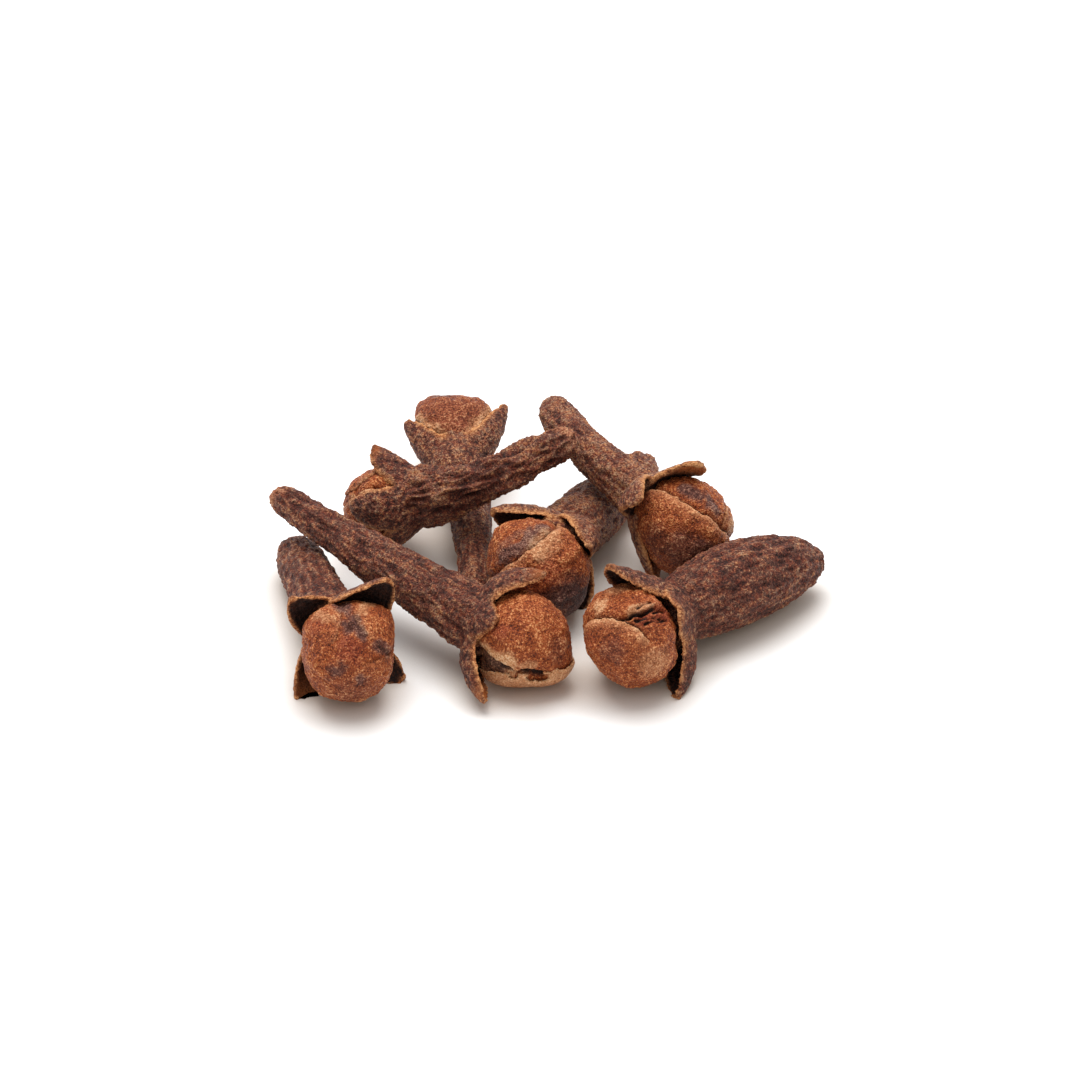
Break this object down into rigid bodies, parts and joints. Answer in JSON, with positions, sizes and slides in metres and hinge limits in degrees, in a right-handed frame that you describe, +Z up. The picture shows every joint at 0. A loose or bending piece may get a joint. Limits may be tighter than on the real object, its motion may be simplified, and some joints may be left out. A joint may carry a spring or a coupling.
{
  "type": "heap of whole cloves",
  "caption": "Small loose heap of whole dried cloves: wrinkled tapering stems, pointed lobes and round closed buds, leaning on and over each other on a bare surface.",
  "frame": {"origin": "middle of the heap's box on the surface that the cloves lie on", "axes": "+X along the heap's longest way, +Y towards its back, +Z up from the surface"},
  "size_m": [0.0275, 0.0233, 0.0068],
  "materials": {
    "dried_clove": "dry, wrinkled and rough, dark brown on the stems and orange brown on the buds"
  },
  "bodies": {
    "root": {"clove_front_left": "dried_clove", "clove_long": "dried_clove", "clove_front_right": "dried_clove", "clove_middle": "dried_clove", "clove_back_right": "dried_clove", "clove_back_left": "dried_clove", "clove_wrinkled": "dried_clove"}
  },
  "joints": []
}
